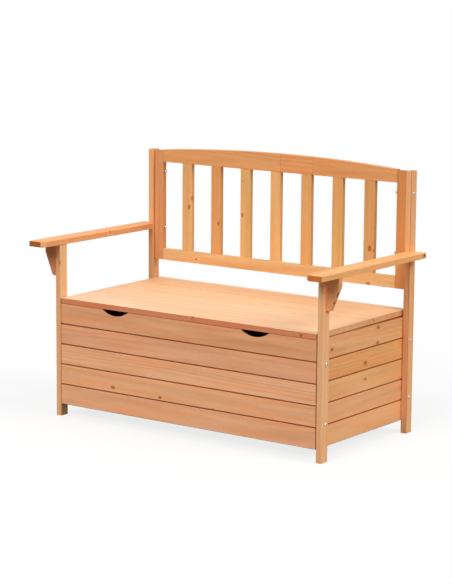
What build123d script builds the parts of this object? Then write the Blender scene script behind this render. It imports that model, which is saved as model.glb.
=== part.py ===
from build123d import *
import math
import os

# Garden storage bench in fir: four posts carry a tongue-and-groove box, two arms and a slatted back.
# The seat is the lid of the box and turns on two butt hinges at its rear edge.
# Frame: millimetres, origin on the ground under the middle, +X along the seat, +Y to the back, +Z up.

# Box
box_width = 983.0  # between the inner faces of the posts
box_depth = 508.0  # over the front and rear posts
ground_clearance = 40.0
wall_thickness = 12.0
wall_board_count = 5
wall_board_pitch = 65.2  # visible height of every wall board but the top one
top_board_height = 66.8
board_bevel = 1.5
board_gap = 1.4  # open joint at the face, between a board and the one below it
board_end_gap = 1.0  # between the ends of the front and back boards and the posts
tongue_height = 5.0
tongue_thickness = 4.0
tongue_clearance = 0.25

# Finger scoops in the top front board
scoop_offset = 268.0  # from the middle of the bench
scoop_width = 104.0
scoop_depth = 17.5
scoop_lip = 4.0  # thickness of the wall left at the scoop's edge
scoop_relief = 6.0  # how much wider and deeper the scoop is behind that lip

# Battens, ledgers and floor inside the box
corner_batten = 25.0
wall_batten_width = 44.0
wall_batten_thickness = 20.0
batten_drop = 15.0  # from the top of the walls to the tops of the battens
hinge_rail_width = 25.0
hinge_rail_height = 40.0
ledger_width = 45.0
ledger_thickness = 18.0
floor_thickness = 10.0
floor_board_count = 9
floor_gap = 2.0

# Posts
post_width = 19.5  # along X
post_depth = 33.0  # along Y
front_post_height = 553.5
rear_post_height = 821.0
edge_ease = 1.5  # rounding of the long edges of posts, arms and back frame

# Arms
arm_width = 60.0
arm_thickness = 18.0
arm_overhang = 76.0  # in front of the posts
arm_tail = 27.0  # beside each rear post, behind its front face
arm_lip = 2.0  # post left bare inside the arm
arm_corner_cut = 13.5
notch_gap = 0.3

# Arm brackets
bracket_thickness = 17.0
bracket_height = 98.5
bracket_edge = 25.0  # upright part of the outer edge
bracket_foot = 12.5

# Back frame
frame_thickness = 17.0
frame_bottom = 452.5
stile_drop = 1.5  # of the stiles below the tops of the rear posts
stile_width = 37.0
bottom_rail_height = 38.0
top_rail_height = 41.2  # at its ends
top_rail_lip = 3.0  # of its ends above the stiles
crest_rise = 18.0
slat_count = 7
slat_width = 39.5
slat_thickness = 14.5
tenon_thickness = 8.0
tenon_length = 12.0
tenon_shoulder = 6.0  # on each side of a tenon, across its width
tenon_gap = 0.2

# Bolts and cap nuts
bolt_radius = 3.0
bolt_hole_gap = 0.3
bolt_head_radius = 5.6
bolt_head_height = 3.4
bolt_head_round = 1.8
socket_flats = 4.0
socket_depth = 2.0
nut_flats = 10.0
nut_height = 5.0
nut_dome_radius = 4.6
nut_bore_depth = 7.0
thread_gap = 0.05
bolt_end_gap = 1.0
bolt_setback = 19.5  # from the front and rear faces of the posts
bolt_rise = 75.0  # from the lower edges of the walls
bolt_drop = 72.6  # from the upper edges of the walls
frame_bolt_drop = 70.0  # from the tops of the rear posts
counterbore_radius = 6.0
counterbore_depth = 8.0

# Wood screws and dowels
screw_radius = 2.0
screw_head_radius = 4.0
screw_head_height = 2.4
screw_gap = 0.1
bracket_post_screw_length = 30.0
bracket_post_screw_bite = 14.0
bracket_post_screw_rise = 24.0  # above the bracket's lower end
bracket_arm_screw_length = 50.0
bracket_arm_screw_bite = 12.0
bracket_arm_screw_inset = 10.0  # from the arm's outer edge
dowel_radius = 4.0
dowel_in_post = 25.0
dowel_in_arm = 12.0
dowel_gap = 0.1

# Lid
lid_setback = 1.0  # of the lid's rear edge inside the rear face of the box
lid_thickness = 16.8
lid_board_count = 4
lid_side_gap = 4.0
lid_ease = 0.8
lid_rest_gap = 0.8  # under its front edge
lid_batten_width = 45.0
lid_batten_thickness = 18.0
lid_batten_offset = 380.0
lid_batten_inset = 45.0  # from the lid's front and rear edges
lid_screw_bite = 10.0

# Hinges
hinge_offset = 300.0  # from the middle of the bench
hinge_inset = 4.0  # of the pins inside the rear face of the box
hinge_length = 60.0
hinge_leaf = 28.0
hinge_plate = 1.0
hinge_knuckle_count = 5
hinge_knuckle_radius = 2.0
hinge_knuckle_gap = 0.3
hinge_pin_radius = 1.0
hinge_pin_gap = 0.05
hinge_pin_head_radius = 1.7
hinge_pin_head = 1.0
hinge_screw_radius = 1.6
hinge_screw_head_radius = 3.0
hinge_screw_head = 0.8
hinge_screw_bite = 8.0
hinge_screw_spread = 20.0
hinge_screw_rows = (12.0, 21.0)  # from the pin: the outer pair and the middle screw

# Places that follow from the sizes above
half_box = box_width / 2
post_outer = half_box + post_width
front = (arm_overhang - box_depth) / 2
rear = front + box_depth
middle = (front + rear) / 2
box_top = ground_clearance + (wall_board_count - 1) * wall_board_pitch + top_board_height
wall_inner = half_box - wall_thickness
wall_front = front + wall_thickness
wall_rear = rear - wall_thickness
batten_inner = wall_inner - corner_batten
batten_top = box_top - batten_drop
ledger_top = ground_clearance + ledger_thickness
hinge_rail_bottom = box_top - hinge_rail_height
arm_inner = half_box + arm_lip
arm_outer = arm_inner + arm_width
rear_post_front = rear - post_depth
frame_mid = rear - post_depth / 2
frame_top = rear_post_height - stile_drop
frame_bolt_height = rear_post_height - frame_bolt_drop
stile_inner = half_box - stile_width
bottom_rail_top = frame_bottom + bottom_rail_height
top_rail_end = frame_top + top_rail_lip
top_rail_bottom = top_rail_end - top_rail_height
bracket_bottom = front_post_height - bracket_height
bracket_starts = {"left": front, "right": front + post_depth - bracket_thickness}
arm_bolt_seat = arm_outer - counterbore_depth
arm_bolt_height = front_post_height + arm_thickness / 2
hinge_clear = hinge_knuckle_radius + hinge_knuckle_gap  # from the pin to the wall below and the lid above
hinge_y = rear - hinge_inset
hinge_z = box_top + hinge_clear
lid_front = front - hinge_y
lid_rear = hinge_inset - lid_setback
lid_depth = lid_rear - lid_front
lid_half = half_box - lid_side_gap

# The lid lies with its front edge on the wall and its rear edge lifted by the hinges
lid_fall = hinge_clear - lid_rest_gap
lid_reach = math.hypot(lid_front, hinge_clear)
lid_tilt = math.asin(lid_fall / lid_reach) + math.atan2(hinge_clear, -lid_front)
lid_place = Pos(0, hinge_y, hinge_z) * Rot(math.degrees(lid_tilt), 0, 0)

LEFT = -1
RIGHT = 1
SIDES = {"left": LEFT, "right": RIGHT}


def block(x, y, z):
    """A plain block between (low, high) pairs along X, Y and Z."""
    size = [high - low for low, high in (x, y, z)]
    centre = [(high + low) / 2 for low, high in (x, y, z)]
    return Pos(*centre) * Box(*size)


def eased_block(x, y, z, along, radius=edge_ease):
    """A block whose four edges along one axis are rounded."""
    bar = block(x, y, z)
    return fillet(bar.edges().filter_by(along), radius)


def mirrored(side, low, high):
    """The (low, high) pair along X of a piece on one side of the bench."""
    return tuple(sorted((side * low, side * high)))


def rod(start, direction, length, radius):
    """A round rod from a start point along a direction."""
    return Solid.make_cylinder(radius, length, Plane(origin=start, z_dir=direction))


def prism(points, y):
    """A solid with an outline of (x, z) points, between two places along Y."""
    outline = Plane.XZ * make_face(Polyline(*points, close=True))
    return Pos(0, y[1], 0) * extrude(outline, y[1] - y[0])


def placed(shape, start, direction):
    """A shape made along +Z, moved to a start point and turned along a direction."""
    return Plane(origin=start, z_dir=direction).location * shape


def cut(shape, tools):
    """A shape with every tool cut away."""
    for tool in tools:
        shape = shape - tool
    return shape


def export(name, *solids):
    """One node: a single solid, or a group of separate ones."""
    shape = solids[0] if len(solids) == 1 else Compound(solids)
    export_step(shape, f"parts/{name}.step")


# Fasteners


def bolt(grip):
    """A socket-head bolt along +Z, its head seated at the origin."""
    reach = grip + nut_bore_depth - bolt_end_gap
    low = (Align.CENTER, Align.CENTER, Align.MIN)
    head = Pos(0, 0, -bolt_head_height) * Cylinder(bolt_head_radius, bolt_head_height, align=low)
    head = fillet(head.edges().sort_by(Axis.Z)[0], bolt_head_round)
    hexagon = RegularPolygon(socket_flats / 2, 6, major_radius=False)
    socket = Pos(0, 0, -bolt_head_height) * extrude(hexagon, socket_depth)
    return head + Cylinder(bolt_radius, reach, align=low) - socket


def cap_nut():
    """A domed nut along +Z, seated at the origin."""
    low = (Align.CENTER, Align.CENTER, Align.MIN)
    hexagon = extrude(RegularPolygon(nut_flats / 2, 6, major_radius=False), nut_height)
    dome = Pos(0, 0, nut_height) * Sphere(nut_dome_radius)
    return hexagon + dome - Cylinder(bolt_radius + thread_gap, nut_bore_depth, align=low)


def wood_screw(length, radius=screw_radius, head_radius=screw_head_radius, head_height=screw_head_height):
    """A flat-headed screw along +Z, with the underside of its head at the origin."""
    low = (Align.CENTER, Align.CENTER, Align.MIN)
    head = Pos(0, 0, -head_height) * Cylinder(head_radius, head_height, align=low)
    return head + Cylinder(radius, length, align=low)


class BoltRun:
    """One bolt across the bench, from its seat inwards to its cap nut."""

    def __init__(self, side, seat_x, y, z, inner_x):
        self.inward = (-side, 0, 0)
        self.seat = (side * seat_x, y, z)
        self.nut_seat = (side * inner_x, y, z)
        self.grip = seat_x - inner_x

    def bolt(self):
        """The bolt where it sits."""
        return placed(bolt(self.grip), self.seat, self.inward)

    def nut(self):
        """The cap nut on the bolt's inner end."""
        return placed(cap_nut(), self.nut_seat, self.inward)

    def hole(self):
        """The clearance hole along the bolt's grip."""
        return rod(self.seat, self.inward, self.grip, bolt_radius + bolt_hole_gap)

    def counterbore(self):
        """The wide hole that sinks the bolt's head."""
        outward = (-self.inward[0], 0, 0)
        return rod(self.seat, outward, counterbore_depth, counterbore_radius)


wall_bolts = {}
frame_bolts = {}
arm_bolts = {}
for name, side in SIDES.items():
    wall_bolts[name] = [
        BoltRun(side, post_outer, y, z, batten_inner)
        for y in (front + bolt_setback, rear - bolt_setback)
        for z in (ground_clearance + bolt_rise, box_top - bolt_drop)
    ]
    frame_bolts[name] = BoltRun(side, post_outer, frame_mid, frame_bolt_height, stile_inner)
    arm_bolts[name] = BoltRun(side, arm_bolt_seat, frame_mid, arm_bolt_height, stile_inner)


def bolt_holes(name):
    """Every bolt hole on one side of the bench."""
    runs = wall_bolts[name] + [frame_bolts[name], arm_bolts[name]]
    return [run.hole() for run in runs]


class BracketScrews:
    """The two screws of one bracket: one level into the post, one upright into the arm."""

    def __init__(self, side, y):
        post_z = bracket_bottom + bracket_post_screw_rise
        self.inward = (-side, 0, 0)
        self.upward = (0, 0, 1)
        post_reach = bracket_post_screw_length - bracket_post_screw_bite
        self.post_seat = (side * (post_outer + post_reach), y, post_z)
        arm_x = side * (arm_outer - bracket_arm_screw_inset)
        arm_reach = bracket_arm_screw_length - bracket_arm_screw_bite
        self.arm_seat = (arm_x, y, front_post_height - arm_reach)

    def screws(self):
        """Both screws where they sit."""
        level = placed(wood_screw(bracket_post_screw_length), self.post_seat, self.inward)
        upright = placed(wood_screw(bracket_arm_screw_length), self.arm_seat, self.upward)
        return [level, upright]

    def holes(self):
        """Clearance holes for the shanks and sunk holes for the heads."""
        shank = screw_radius + screw_gap
        sink = screw_head_radius + screw_gap
        outward = (-self.inward[0], 0, 0)
        return [
            rod(self.post_seat, self.inward, bracket_post_screw_length + screw_gap, shank),
            rod(self.arm_seat, self.upward, bracket_arm_screw_length + screw_gap, shank),
            rod(self.post_seat, outward, arm_outer - post_outer, sink),
            rod(self.arm_seat, (0, 0, -1), bracket_height, sink),
        ]


bracket_screws = {
    name: BracketScrews(side, bracket_starts[name] + bracket_thickness / 2) for name, side in SIDES.items()
}


def dowel(side, gap=0.0):
    """The dowel between a front post and its arm, or its hole when a gap is given."""
    x = side * (half_box + post_width / 2)
    start = (x, front + post_depth / 2, front_post_height - dowel_in_post - gap)
    return rod(start, (0, 0, 1), dowel_in_post + dowel_in_arm + 2 * gap, dowel_radius + gap)


# Posts, arms and brackets


def post(name, end):
    """A post with its bolt holes; the front ones also take the bracket's screw and the arm's dowel."""
    side = SIDES[name]
    x = mirrored(side, half_box, post_outer)
    if end == "rear":
        return cut(eased_block(x, (rear_post_front, rear), (0, rear_post_height), Axis.Z), bolt_holes(name))
    body = eased_block(x, (front, front + post_depth), (0, front_post_height), Axis.Z)
    shank_holes = bracket_screws[name].holes()[:1]
    return cut(body, bolt_holes(name) + shank_holes + [dowel(side, dowel_gap)])


def arm(name):
    """An arm: flat board with its inner front corner cut off and a notch round the rear post."""
    side = SIDES[name]
    arm_front = front - arm_overhang
    arm_rear = rear_post_front + arm_tail
    outline = [
        (arm_inner, rear_post_front - notch_gap),
        (arm_inner, arm_front + arm_corner_cut),
        (arm_inner + arm_corner_cut, arm_front),
        (arm_outer, arm_front),
        (arm_outer, arm_rear),
        (post_outer, arm_rear),
        (post_outer, rear_post_front - notch_gap),
    ]
    face = make_face(Polyline(*[(side * x, y) for x, y in outline], close=True))
    board = Pos(0, 0, front_post_height) * extrude(face, arm_thickness)
    rims = board.edges().group_by(Axis.Z)[0] + board.edges().group_by(Axis.Z)[-1]
    clear_of_notch = [edge for edge in rims if abs(edge.center().Y - rear_post_front) > arm_tail]
    board = fillet(clear_of_notch, edge_ease)
    run = arm_bolts[name]
    arm_hole = bracket_screws[name].holes()[1]
    return cut(board, [run.hole(), run.counterbore(), arm_hole, dowel(side, dowel_gap)])


def bracket(name):
    """A five-sided bracket on the outer face of a front post, under the arm."""
    side = SIDES[name]
    outline = [
        (post_outer, front_post_height),
        (arm_outer, front_post_height),
        (arm_outer, front_post_height - bracket_edge),
        (post_outer + bracket_foot, bracket_bottom),
        (post_outer, bracket_bottom),
    ]
    start = bracket_starts[name]
    body = prism([(side * x, z) for x, z in outline], (start, start + bracket_thickness))
    return cut(body, bracket_screws[name].holes())


# Box


def wall_profile(index):
    """Section of one wall board: thickness inwards along X, height along Y, tongue above, groove below."""
    low = ground_clearance + index * wall_board_pitch
    is_top = index == wall_board_count - 1
    high = low + (top_board_height if is_top else wall_board_pitch)
    centre = wall_thickness / 2
    tongue = tongue_thickness / 2
    groove = tongue + tongue_clearance
    lip = low if index == 0 else low + board_gap
    points = [(0, lip + board_bevel), (0, high - board_bevel), (board_bevel, high)]
    if not is_top:
        points += [(centre - tongue, high), (centre - tongue, high + tongue_height)]
        points += [(centre + tongue, high + tongue_height), (centre + tongue, high)]
    points += [(wall_thickness, high), (wall_thickness, low)]
    if index > 0:
        roof = low + tongue_height + tongue_clearance
        points += [(centre + groove, low), (centre + groove, roof)]
        points += [(centre - groove, roof), (centre - groove, lip)]
    points.append((board_bevel, lip))
    return make_face(Polyline(*points, close=True))


def wall_board(index, length, origin, inward):
    """One wall board, centred on an origin in the wall's outer face."""
    along = Vector(*inward).cross(Vector(0, 0, 1))
    wall = Plane(origin=origin, x_dir=inward, z_dir=along)
    return wall.location * extrude(wall_profile(index), length / 2, both=True)


def scoop(x):
    """A finger scoop: a hollow cut down from the top of the front wall, wider behind a thin lip."""
    cuts = []
    for start, relief in ((-wall_thickness, 0.0), (scoop_lip, scoop_relief)):
        half = scoop_width / 2 + relief
        bottom = box_top - scoop_depth - relief
        above = box_top + scoop_depth
        curve = [
            ThreePointArc((-half, box_top), (0, bottom), (half, box_top)),
            Polyline((half, box_top), (half, above), (-half, above), (-half, box_top)),
        ]
        outline = Plane.XZ * make_face(curve)
        cuts.append(Pos(x, front + 2 * wall_thickness, 0) * extrude(outline, 2 * wall_thickness - start))
    return cuts


# Hinges and lid


def hinge_rows():
    """Places of one leaf's screws: (along X from the leaf's middle, away from the pin)."""
    pair, single = hinge_screw_rows
    return [(-hinge_screw_spread, pair), (hinge_screw_spread, pair), (0, single)]


def hinge_screw():
    """A small hinge screw along +Z, the underside of its head at the origin."""
    length = hinge_plate + hinge_screw_bite
    return wood_screw(length, hinge_screw_radius, hinge_screw_head_radius, hinge_screw_head)


class HingeLeaf:
    """One leaf of a hinge, in a frame with the pin along X at the origin and the plate towards the front."""

    def __init__(self, x, is_fixed):
        self.x = x
        self.is_fixed = is_fixed
        self.inward = (0, 0, -1) if is_fixed else (0, 0, 1)
        self.seat = (hinge_clear - hinge_plate) * self.inward[2]

    def screw_seats(self):
        """Points on the plate's free face where the screw heads sit."""
        return [(self.x + along, -away, self.seat) for along, away in hinge_rows()]

    def screws(self):
        """The leaf's screws."""
        return [placed(hinge_screw(), seat, self.inward) for seat in self.screw_seats()]

    def screw_holes(self):
        """Clearance holes through the plate and into the wood behind it."""
        length = hinge_plate + hinge_screw_bite + screw_gap
        radius = hinge_screw_radius + screw_gap
        return [rod(seat, self.inward, length, radius) for seat in self.screw_seats()]

    def solid(self):
        """The plate with its share of the knuckles, bored for the pin."""
        half = hinge_length / 2
        thick = tuple(sorted((self.seat, self.seat + hinge_plate * self.inward[2])))
        span = (self.x - half, self.x + half)
        leaf = block(span, (-hinge_leaf, -hinge_clear), thick)
        pitch = hinge_length / hinge_knuckle_count
        for index in range(hinge_knuckle_count):
            if (index % 2 == 0) != self.is_fixed:
                continue
            start = span[0] + index * pitch + hinge_knuckle_gap / 2
            knuckle = (start, start + pitch - hinge_knuckle_gap)
            web = block(knuckle, (-hinge_clear, 0), thick)
            leaf = leaf + web + rod((start, 0, 0), (1, 0, 0), knuckle[1] - knuckle[0], hinge_knuckle_radius)
        bore = rod((span[0], 0, 0), (1, 0, 0), hinge_length, hinge_pin_radius + hinge_pin_gap)
        return cut(leaf, [bore] + self.screw_holes())


def hinge_pin(x):
    """A hinge pin along X with a head at each end."""
    half = hinge_length / 2
    left_head = rod((x - half - hinge_pin_head, 0, 0), (1, 0, 0), hinge_pin_head, hinge_pin_head_radius)
    right_head = rod((x + half, 0, 0), (1, 0, 0), hinge_pin_head, hinge_pin_head_radius)
    return rod((x - half, 0, 0), (1, 0, 0), hinge_length, hinge_pin_radius) + left_head + right_head


hinge_places = (-hinge_offset, hinge_offset)
fixed_leaves = [HingeLeaf(x, True) for x in hinge_places]
lid_leaves = [HingeLeaf(x, False) for x in hinge_places]
hinge_frame = Pos(0, hinge_y, hinge_z)
fixed_screw_holes = [hinge_frame * hole for leaf in fixed_leaves for hole in leaf.screw_holes()]
lid_screw_holes = [hole for leaf in lid_leaves for hole in leaf.screw_holes()]

lid_board_width = lid_depth / lid_board_count
lid_batten_places = (-lid_batten_offset, 0.0, lid_batten_offset)
lid_batten_low = hinge_clear - lid_batten_thickness
batten_screw_seats = [
    (x, lid_rear - (index + 0.5) * lid_board_width, lid_batten_low + screw_head_height)
    for x in lid_batten_places
    for index in range(lid_board_count)
]
batten_screw_length = lid_batten_thickness - screw_head_height + lid_screw_bite


def batten_screw_holes():
    """Holes for the screws that hold the lid's boards to its battens."""
    shank = screw_radius + screw_gap
    sink = screw_head_radius + screw_gap
    holes = [rod(seat, (0, 0, 1), batten_screw_length + screw_gap, shank) for seat in batten_screw_seats]
    return holes + [rod(seat, (0, 0, -1), screw_head_height, sink) for seat in batten_screw_seats]


def lid_board(index):
    """One seat board in the lid's frame, counted from the rear."""
    high = lid_rear - index * lid_board_width
    y = (high - lid_board_width, high)
    z = (hinge_clear, hinge_clear + lid_thickness)
    board = eased_block((-lid_half, lid_half), y, z, Axis.X, lid_ease)
    return cut(board, batten_screw_holes() + lid_screw_holes)


def lid_batten(x):
    """One batten under the seat boards, in the lid's frame."""
    half = lid_batten_width / 2
    y = (lid_front + lid_batten_inset, lid_rear - lid_batten_inset)
    batten = eased_block((x - half, x + half), y, (lid_batten_low, hinge_clear), Axis.Y, lid_ease)
    return cut(batten, batten_screw_holes())


# Back frame


def tenon(x, z, gap=0.0):
    """A tenon across the frame's thickness, or its mortise when a gap is given."""
    half = tenon_thickness / 2 + gap
    return block(x, (frame_mid - half, frame_mid + half), z)


def rail_tenon(side, rail_z, gap=0.0):
    """The tenon at one end of a rail, or its mortise in the stile."""
    z = (rail_z[0] + tenon_shoulder - gap, rail_z[1] - tenon_shoulder + gap)
    return tenon(mirrored(side, stile_inner, stile_inner + tenon_length + gap), z, gap)


def slat_tenon(x, start, direction, gap=0.0):
    """The tenon at one end of a slat, or its mortise in the rail."""
    half = slat_width / 2 - tenon_shoulder + gap
    end = start + direction * (tenon_length + gap)
    return tenon((x - half, x + half), tuple(sorted((start, end))), gap)


slat_gap = (2 * stile_inner - slat_count * slat_width) / (slat_count + 1)
slat_places = [
    -stile_inner + slat_gap + slat_width / 2 + index * (slat_gap + slat_width) for index in range(slat_count)
]
frame_y = (frame_mid - frame_thickness / 2, frame_mid + frame_thickness / 2)
bottom_rail_z = (frame_bottom, bottom_rail_top)
top_rail_z = (top_rail_bottom, frame_top)


def stile(name):
    """An upright of the back frame, bolted to its rear post, with mortises for the rails."""
    side = SIDES[name]
    x = mirrored(side, stile_inner, half_box)
    bar = eased_block(x, frame_y, (frame_bottom, frame_top), Axis.Z)
    mortises = [rail_tenon(side, z, tenon_gap) for z in (bottom_rail_z, top_rail_z)]
    return cut(bar, mortises + bolt_holes(name))


def bottom_rail():
    """The straight lower rail, with mortises for the slats in its top."""
    bar = eased_block((-stile_inner, stile_inner), frame_y, bottom_rail_z, Axis.X)
    for side in SIDES.values():
        bar = bar + rail_tenon(side, bottom_rail_z)
    return cut(bar, [slat_tenon(x, bottom_rail_top, -1, tenon_gap) for x in slat_places])


def top_rail():
    """The upper rail, with an arched top and mortises for the slats in its underside."""
    left_end = (-stile_inner, top_rail_end)
    right_end = (stile_inner, top_rail_end)
    crest = ThreePointArc(left_end, (0, top_rail_end + crest_rise), right_end)
    sides = Polyline(left_end, (-stile_inner, top_rail_bottom), (stile_inner, top_rail_bottom), right_end)
    outline = Plane.XZ * make_face([crest, sides])
    bar = Pos(0, frame_mid, 0) * extrude(outline, frame_thickness / 2, both=True)
    bar = fillet([edge for edge in bar.edges() if edge.length > stile_inner], edge_ease)
    for side in SIDES.values():
        bar = bar + rail_tenon(side, top_rail_z)
    return cut(bar, [slat_tenon(x, top_rail_bottom, 1, tenon_gap) for x in slat_places])


def slat(x):
    """One slat of the back with a tenon at each end."""
    y = (frame_mid - slat_thickness / 2, frame_mid + slat_thickness / 2)
    half = slat_width / 2
    bar = eased_block((x - half, x + half), y, (bottom_rail_top, top_rail_bottom), Axis.Z)
    return bar + slat_tenon(x, bottom_rail_top, -1) + slat_tenon(x, top_rail_bottom, 1)


# Inside of the box


def corner_battens():
    """The four upright battens that the walls and posts are bolted to."""
    battens = []
    for name, side in SIDES.items():
        x = mirrored(side, batten_inner, wall_inner)
        for y in ((wall_front, wall_front + corner_batten), (wall_rear - corner_batten, wall_rear)):
            batten = block(x, y, (ground_clearance, batten_top))
            battens.append(cut(batten, [run.hole() for run in wall_bolts[name]]))
    return battens


def ledgers():
    """The two ledgers that carry the floor, along the front and back walls."""
    x = (-batten_inner, batten_inner)
    z = (ground_clearance, ledger_top)
    spans = ((wall_front, wall_front + ledger_width), (wall_rear - ledger_width, wall_rear))
    return [block(x, y, z) for y in spans]


def hinge_rail():
    """The rail along the top of the back wall that carries the hinges, with their screw holes."""
    y = (wall_rear - hinge_rail_width, wall_rear)
    rail = block((-batten_inner, batten_inner), y, (hinge_rail_bottom, box_top))
    return cut(rail, fixed_screw_holes)


def wall_battens():
    """The two upright battens at the middle of the front and back walls, standing on the ledgers."""
    x = (-wall_batten_width / 2, wall_batten_width / 2)
    front_y = (wall_front, wall_front + wall_batten_thickness)
    rear_y = (wall_rear - wall_batten_thickness, wall_rear)
    return [block(x, front_y, (ledger_top, batten_top)), block(x, rear_y, (ledger_top, hinge_rail_bottom))]


def floor_boards():
    """The floor boards, front to back between the corner battens."""
    pitch = 2 * wall_inner / floor_board_count
    y = (wall_front + corner_batten, wall_rear - corner_batten)
    z = (ledger_top, ledger_top + floor_thickness)
    starts = [-wall_inner + index * pitch for index in range(floor_board_count)]
    return [block((start + floor_gap / 2, start + pitch - floor_gap / 2), y, z) for start in starts]


os.makedirs("parts", exist_ok=True)

for name in SIDES:
    export(f"front_{name}_post", post(name, "front"))
    export(f"rear_{name}_post", post(name, "rear"))
    export(f"{name}_arm", arm(name))
    export(f"{name}_arm_bracket", bracket(name))
    export(f"back_{name}_stile", stile(name))

side_length = box_depth - 2 * wall_thickness
front_length = box_width - 2 * board_end_gap
scoops = scoop(-scoop_offset) + scoop(scoop_offset)
for index in range(wall_board_count):
    number = index + 1
    front_board = wall_board(index, front_length, (0, front, 0), (0, 1, 0))
    back_board = wall_board(index, front_length, (0, rear, 0), (0, -1, 0))
    export(f"front_board_{number}", cut(front_board, scoops))
    export(f"back_board_{number}", back_board)
    for name, side in SIDES.items():
        board = wall_board(index, side_length, (side * half_box, middle, 0), (-side, 0, 0))
        export(f"{name}_board_{number}", cut(board, [run.hole() for run in wall_bolts[name]]))

export("corner_battens", *corner_battens())
export("wall_battens", *wall_battens())
export("hinge_rail", hinge_rail())
export("floor_ledgers", *ledgers())
export("floor_boards", *floor_boards())

export("back_bottom_rail", bottom_rail())
export("back_top_rail", top_rail())
for index, x in enumerate(slat_places):
    export(f"back_slat_{index + 1}", slat(x))

post_bolt_runs = [run for name in SIDES for run in wall_bolts[name] + [frame_bolts[name]]]
arm_bolt_runs = list(arm_bolts.values())
export("post_bolts", *[run.bolt() for run in post_bolt_runs])
export("arm_bolts", *[run.bolt() for run in arm_bolt_runs])
export("cap_nuts", *[run.nut() for run in post_bolt_runs + arm_bolt_runs])
export("bracket_screws", *[screw for pair in bracket_screws.values() for screw in pair.screws()])
export("arm_dowels", *[dowel(side) for side in SIDES.values()])

for index in range(lid_board_count):
    export(f"lid_board_{index + 1}", lid_place * lid_board(index))
export("lid_battens", *[lid_place * lid_batten(x) for x in lid_batten_places])
batten_screws = [placed(wood_screw(batten_screw_length), seat, (0, 0, 1)) for seat in batten_screw_seats]
export("lid_batten_screws", *[lid_place * screw for screw in batten_screws])

export("hinge_fixed_leaves", *[hinge_frame * leaf.solid() for leaf in fixed_leaves])
export("hinge_fixed_screws", *[hinge_frame * screw for leaf in fixed_leaves for screw in leaf.screws()])
export("hinge_lid_leaves", *[lid_place * leaf.solid() for leaf in lid_leaves])
export("hinge_lid_screws", *[lid_place * screw for leaf in lid_leaves for screw in leaf.screws()])
export("hinge_pins", *[hinge_frame * hinge_pin(x) for x in hinge_places])
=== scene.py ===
"""Garden storage bench in oiled fir: the dressed pieces, a plain studio and the camera."""

from __future__ import annotations

import logging
import math
import random
from collections.abc import Callable
from dataclasses import dataclass, field
from enum import Enum
from functools import partial

import bmesh
import bpy
from mathutils import Euler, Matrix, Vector

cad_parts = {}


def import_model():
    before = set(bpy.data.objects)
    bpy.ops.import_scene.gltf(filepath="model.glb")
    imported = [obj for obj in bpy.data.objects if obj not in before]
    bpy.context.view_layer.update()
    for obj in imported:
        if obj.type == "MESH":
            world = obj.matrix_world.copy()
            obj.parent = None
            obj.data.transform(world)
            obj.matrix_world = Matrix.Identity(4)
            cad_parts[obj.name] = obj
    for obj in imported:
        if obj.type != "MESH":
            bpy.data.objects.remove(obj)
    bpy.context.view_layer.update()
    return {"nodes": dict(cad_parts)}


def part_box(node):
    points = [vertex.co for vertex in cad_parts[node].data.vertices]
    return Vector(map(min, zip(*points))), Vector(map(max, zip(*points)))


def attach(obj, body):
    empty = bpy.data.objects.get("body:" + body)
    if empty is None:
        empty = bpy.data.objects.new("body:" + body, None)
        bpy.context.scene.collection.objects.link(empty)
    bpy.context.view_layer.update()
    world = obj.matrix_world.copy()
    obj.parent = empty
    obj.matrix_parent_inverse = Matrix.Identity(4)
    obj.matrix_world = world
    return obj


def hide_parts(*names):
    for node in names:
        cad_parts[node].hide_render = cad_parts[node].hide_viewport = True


Rgb = tuple[float, float, float]
Point = tuple[float, float, float]
Span = tuple[float, float]
Socket = bpy.types.NodeSocket
AddNode = Callable[..., Socket | None]

LOG = logging.getLogger("bench")
MM = 0.001
BENCH = "bench"
LID = "lid"
PLAIN = Vector((1.0, 1.0, 1.0))

# Limits for joining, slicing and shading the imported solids: distances in metres, angles, and how many
# times larger than a facet of a rounded edge a flat face is.
WELD = 2e-6
ON_PLANE = 1e-6
COPLANAR = math.radians(0.4)
EVEN = math.radians(0.5)
ROUNDED = math.radians(30)
FLAT_TO_FACET = 20


def linear(colour: str) -> tuple[float, float, float, float]:
    """Turns an sRGB hex colour into linear RGBA.

    Args:
        colour: Six hex digits after a hash sign.

    Returns:
        Red, green, blue and alpha, from 0 to 1.
    """
    levels = [int(colour[i : i + 2], 16) / 255 for i in (1, 3, 5)]
    curve = [v / 12.92 if v <= 0.04045 else ((v + 0.055) / 1.055) ** 2.4 for v in levels]
    return (curve[0], curve[1], curve[2], 1.0)


def add_node(
    tree: bpy.types.NodeTree,
    kind: str,
    inputs: dict | None = None,
    output: int | str = 0,
    **settings: object,
) -> Socket | None:
    """Adds one node to a tree, with its settings, values and links.

    Args:
        tree: Shader or geometry tree.
        kind: Blender's name for the node type.
        inputs: Values, or output sockets to link, by input name or number.
        output: Name or number of the output that is wanted.
        settings: Properties of the node itself.

    Returns:
        That output, or None for a node without outputs.
    """
    node = tree.nodes.new(kind)
    for name, value in settings.items():
        setattr(node, name, value)
    for key, value in (inputs or {}).items():
        if isinstance(value, Socket):
            tree.links.new(value, node.inputs[key])
        else:
            node.inputs[key].default_value = value
    return node.outputs[output] if len(node.outputs) else None


def bare_nodes(owner: bpy.types.Material | bpy.types.World) -> AddNode:
    """Empties the shader tree of a material or world.

    Args:
        owner: The material or world.

    Returns:
        The function that adds nodes to the tree.
    """
    owner.use_nodes = True
    owner.node_tree.nodes.clear()
    return partial(add_node, owner.node_tree)


def new_object(name: str, mesh: bpy.types.Mesh) -> bpy.types.Object:
    """Links a mesh into the scene as an object at the origin.

    Args:
        name: Name of the object and its mesh.
        mesh: The mesh, with its place in its vertices.

    Returns:
        The new object.
    """
    mesh.name = name
    piece = bpy.data.objects.new(name, mesh)
    bpy.context.scene.collection.objects.link(piece)
    return piece


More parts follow.
